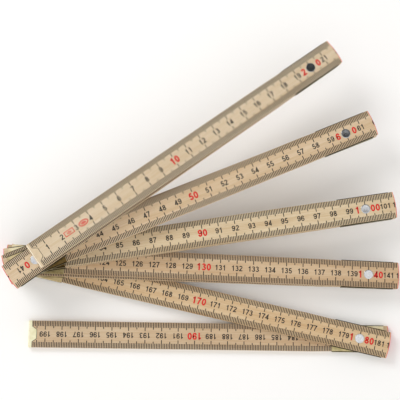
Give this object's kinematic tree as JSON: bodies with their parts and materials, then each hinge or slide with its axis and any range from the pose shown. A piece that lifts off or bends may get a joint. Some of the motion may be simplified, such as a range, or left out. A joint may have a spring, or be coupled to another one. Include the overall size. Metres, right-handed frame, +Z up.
{
  "type": "folding rule",
  "caption": "Wooden folding rule with riveted steel hinges between its blades and a graduated scale along both edges, standing part folded in a fan.",
  "frame": {"origin": "middle of the bounding box at the surface the rule lies on, in the part-folded pose", "axes": "+Z up along every hinge axis; +X along the bottom blade from its free end to its hinge; the fan opens towards +Y"},
  "size_m": [0.2384, 0.1894, 0.0347],
  "materials": {
    "birch": "satin clear lacquer over pale birch, printed black and red, ends dipped red",
    "hinge_plate": "zinc plate with yellow-green chromate",
    "rivet": "bright zinc, flat heads",
    "spring_steel": "plain spring steel",
    "end_cap": "zinc plate with pale yellow chromate"
  },
  "bodies": {
    "section_01": {"blade_01": "birch", "upper_hinge_plate_1": "hinge_plate", "zero_end_cap": "end_cap"},
    "section_02": {"blade_02": "birch", "upper_hinge_plate_2": "hinge_plate", "lower_hinge_plate_1": "hinge_plate", "detent_spring_1": "spring_steel", "rivet_1": "rivet"},
    "section_03": {"blade_03": "birch", "upper_hinge_plate_3": "hinge_plate", "lower_hinge_plate_2": "hinge_plate", "detent_spring_2": "spring_steel", "rivet_2": "rivet"},
    "section_04": {"blade_04": "birch", "upper_hinge_plate_4": "hinge_plate", "lower_hinge_plate_3": "hinge_plate", "detent_spring_3": "spring_steel", "rivet_3": "rivet"},
    "section_05": {"blade_05": "birch", "upper_hinge_plate_5": "hinge_plate", "lower_hinge_plate_4": "hinge_plate", "detent_spring_4": "spring_steel", "rivet_4": "rivet"},
    "section_06": {"blade_06": "birch", "upper_hinge_plate_6": "hinge_plate", "lower_hinge_plate_5": "hinge_plate", "detent_spring_5": "spring_steel", "rivet_5": "rivet"},
    "section_07": {"blade_07": "birch", "upper_hinge_plate_7": "hinge_plate", "lower_hinge_plate_6": "hinge_plate", "detent_spring_6": "spring_steel", "rivet_6": "rivet"},
    "section_08": {"blade_08": "birch", "upper_hinge_plate_8": "hinge_plate", "lower_hinge_plate_7": "hinge_plate", "detent_spring_7": "spring_steel", "rivet_7": "rivet"},
    "section_09": {"blade_09": "birch", "upper_hinge_plate_9": "hinge_plate", "lower_hinge_plate_8": "hinge_plate", "detent_spring_8": "spring_steel", "rivet_8": "rivet"},
    "section_10": {"blade_10": "birch", "lower_hinge_plate_9": "hinge_plate", "detent_spring_9": "spring_steel", "rivet_9": "rivet", "far_end_cap": "end_cap"}
  },
  "joints": [
    {"name": "hinge_9", "type": "hinge", "parent": "section_10", "child": "section_09", "pos_m": [0.09599, -0.0831, 0.00335], "axis": [0, 0, -1], "range_deg": [-12.2, 167.8]},
    {"name": "hinge_8", "type": "hinge", "parent": "section_09", "child": "section_08", "pos_m": [-0.0995, -0.04083, 0.00685], "axis": [0, 0, 1], "range_deg": [-11.1, 168.9]},
    {"name": "hinge_7", "type": "hinge", "parent": "section_08", "child": "section_07", "pos_m": [0.10047, -0.04467, 0.01035], "axis": [0, 0, -1], "range_deg": [-0.5, 179.5]},
    {"name": "hinge_6", "type": "hinge", "parent": "section_07", "child": "section_06", "pos_m": [-0.09946, -0.03909, 0.01385], "axis": [0, 0, 1], "range_deg": [-11.2, 168.8]},
    {"name": "hinge_5", "type": "hinge", "parent": "section_06", "child": "section_05", "pos_m": [0.09774, -0.00573, 0.01735], "axis": [0, 0, -1], "range_deg": [-0.1, 179.9]},
    {"name": "hinge_4", "type": "hinge", "parent": "section_05", "child": "section_04", "pos_m": [-0.09951, -0.03874, 0.02085], "axis": [0, 0, 1], "range_deg": [-13.4, 166.6]},
    {"name": "hinge_3", "type": "hinge", "parent": "section_04", "child": "section_03", "pos_m": [0.08472, 0.03908, 0.02435], "axis": [0, 0, 1], "range_deg": [-0.7, 179.3]},
    {"name": "hinge_2", "type": "hinge", "parent": "section_03", "child": "section_02", "pos_m": [-0.09855, -0.04099, 0.02785], "axis": [0, 0, 1], "range_deg": [-12.8, 167.2]},
    {"name": "hinge_1", "type": "hinge", "parent": "section_02", "child": "section_01", "pos_m": [0.06243, 0.0777, 0.03135], "axis": [0, 0, -1], "range_deg": [-0.4, 179.6]}
  ]
}
